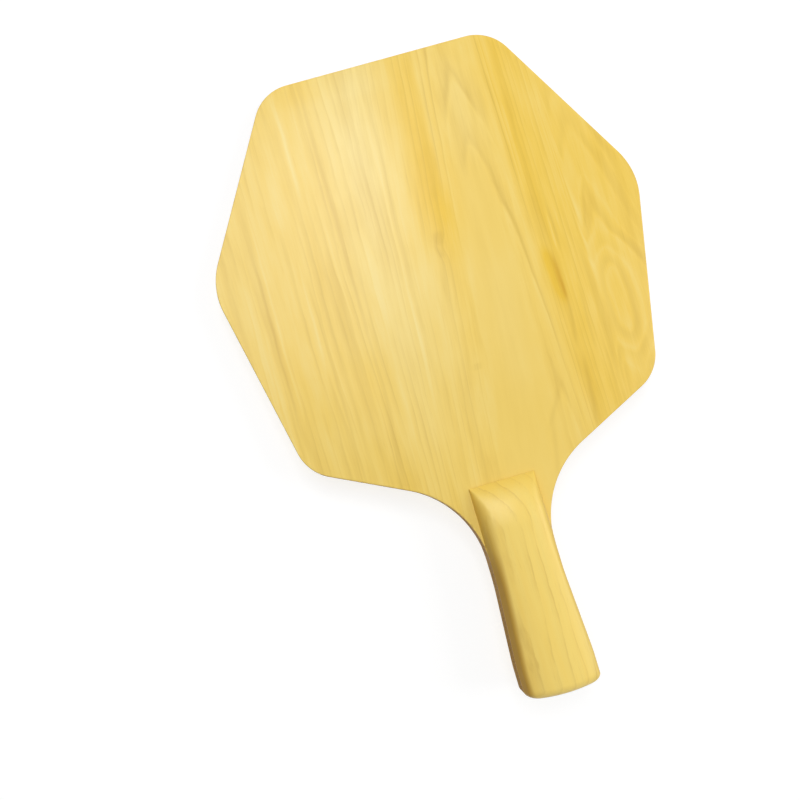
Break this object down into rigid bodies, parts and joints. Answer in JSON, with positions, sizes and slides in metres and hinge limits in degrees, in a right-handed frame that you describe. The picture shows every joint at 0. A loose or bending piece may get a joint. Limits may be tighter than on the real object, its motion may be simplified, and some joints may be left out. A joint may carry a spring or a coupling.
{
  "type": "wooden paddle bat",
  "caption": "Bare wooden paddle bat: flat eight-sided laminated head running into a flared handle with rounded, glued-on grip halves.",
  "frame": {"origin": "halfway along the bat on its centre line, at the level of the back handle scale's crown", "axes": "+Y from the butt of the handle to the head, +X across the head, +Z out of the front face"},
  "size_m": [0.199, 0.297, 0.0254],
  "materials": {
    "face_veneer": "satin clear lacquer over peeled veneer, grain along the handle",
    "crossband": "sanded and lacquered edge, end grain to the long sides",
    "longband": "sanded and lacquered edge, grain along the handle",
    "handle_scale": "satin clear lacquer over solid wood, grain along the handle"
  },
  "bodies": {
    "root": {"front_face_veneer": "face_veneer", "front_crossband": "crossband", "front_longband": "longband", "core_crossband": "crossband", "back_longband": "longband", "back_crossband": "crossband", "back_face_veneer": "face_veneer", "front_handle_scale": "handle_scale", "back_handle_scale": "handle_scale"}
  },
  "joints": []
}
